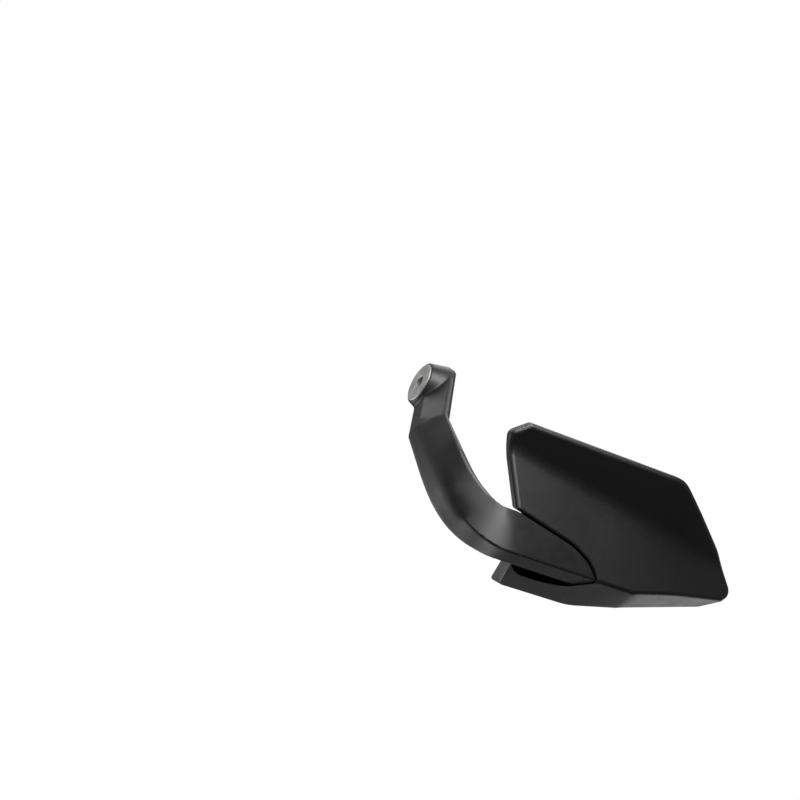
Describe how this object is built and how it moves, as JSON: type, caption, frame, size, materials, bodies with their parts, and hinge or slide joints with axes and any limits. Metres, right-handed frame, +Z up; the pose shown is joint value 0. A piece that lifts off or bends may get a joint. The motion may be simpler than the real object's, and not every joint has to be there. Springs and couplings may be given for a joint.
{
  "type": "motorcycle hand guard",
  "caption": "Right-hand motorcycle hand guard: a folded plastic shield carried by a curved angle-section arm that bolts to the handlebar end through a collared eye.",
  "frame": {"origin": "centre of the collar's outer face on the axis of the bolt bore, at the handlebar end", "axes": "+X along the bolt bore from the handlebar end towards the shield's tip, -Y forward on the motorcycle, +Z up"},
  "size_m": [0.2395, 0.1751, 0.1172],
  "materials": {
    "shield_plastic": "moulded, fine grain",
    "arm_plastic": "moulded, glass filled, satin",
    "collar_metal": "turned",
    "screw_steel": "black oxide",
    "washer_steel": "zinc plated",
    "insert_brass": "turned"
  },
  "bodies": {
    "root": {"shield": "shield_plastic", "arm": "arm_plastic", "mount_collar": "collar_metal", "shield_screws": "screw_steel", "screw_washers": "washer_steel", "threaded_inserts": "insert_brass"}
  },
  "joints": []
}
